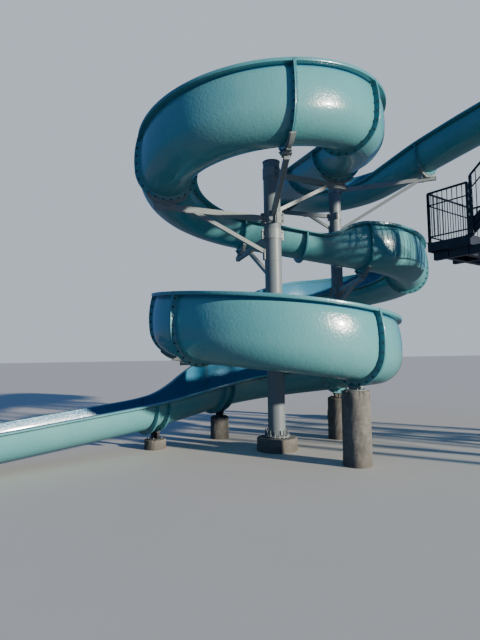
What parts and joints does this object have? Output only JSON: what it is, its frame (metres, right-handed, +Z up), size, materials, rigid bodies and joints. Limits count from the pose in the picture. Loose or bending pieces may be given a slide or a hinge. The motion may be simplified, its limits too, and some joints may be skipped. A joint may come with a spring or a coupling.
{
  "type": "water slide tower",
  "caption": "Outdoor open-flume body slide winding round two steel columns on concrete piers, fed from a steel stair tower, with a straight low run-out.",
  "frame": {"origin": "middle of the underside of the front column's footing, at ground level", "axes": "+Z up, +Y from the front column away from the viewer, +X to the viewer's right"},
  "size_m": [14.3508, 9.6496, 7.507],
  "materials": {
    "flume_shell": "weathered turquoise gelcoat, glossy with a slight orange-peel surface",
    "support_steel": "light grey paint, satin, weathered",
    "concrete": "bare cast concrete, matt",
    "tower_steel": "dark blue-grey paint, satin",
    "stair_steel": "dark grey paint, worn on the treads"
  },
  "bodies": {
    "root": {"flume_01_from_start": "flume_shell", "flume_02_from_entryMiddle": "flume_shell", "flume_03_from_entryArm": "flume_shell", "flume_04_from_rearWest": "flume_shell", "flume_05_from_crossing": "flume_shell", "flume_06_from_loopEast": "flume_shell", "flume_07_from_loopSouthEast": "flume_shell", "flume_08_from_loopSouth": "flume_shell", "flume_09_from_loopWest": "flume_shell", "flume_10_from_loopNorth": "flume_shell", "flume_11_from_midRun": "flume_shell", "flume_12_from_midFront": "flume_shell", "flume_13_from_midEast": "flume_shell", "flume_14_from_midNorth": "flume_shell", "flume_15_from_backRun": "flume_shell", "flume_16_from_backWest": "flume_shell", "flume_17_from_lowWest": "flume_shell", "flume_18_from_lowFront": "flume_shell", "flume_19_from_lowEast": "flume_shell", "flume_20_from_exitPier": "flume_shell", "flume_21_from_exitLow": "flume_shell", "column_front": "support_steel", "column_rear": "support_steel", "footing_front": "concrete", "footing_rear": "concrete", "pier_front": "concrete", "saddle_front": "support_steel", "pier_east": "concrete", "saddle_east": "support_steel", "pier_exit": "concrete", "saddle_exit": "support_steel", "pier_low": "concrete", "saddle_low": "support_steel", "arm_loop_east": "support_steel", "arm_loop_south": "support_steel", "arm_loop_west": "support_steel", "arm_loop_north": "support_steel", "arm_back_west": "support_steel", "arm_entry": "support_steel", "arm_rear_west": "support_steel", "arm_mid_front": "support_steel", "arm_mid_north": "support_steel", "arm_back_run": "support_steel", "saddle_end": "support_steel", "landing": "tower_steel", "landing_bent": "tower_steel", "start_deck": "tower_steel", "deck_bent_front": "tower_steel", "deck_bent_back": "tower_steel", "deck_side_near": "tower_steel", "deck_side_far": "tower_steel", "flight_upper": "stair_steel", "flight_lower": "stair_steel", "rail_upper_near": "tower_steel", "rail_upper_far": "tower_steel", "rail_lower_near": "tower_steel", "rail_lower_far": "tower_steel", "rail_landing": "tower_steel", "rail_deck": "tower_steel", "rail_deck_middle": "tower_steel"}
  },
  "joints": []
}
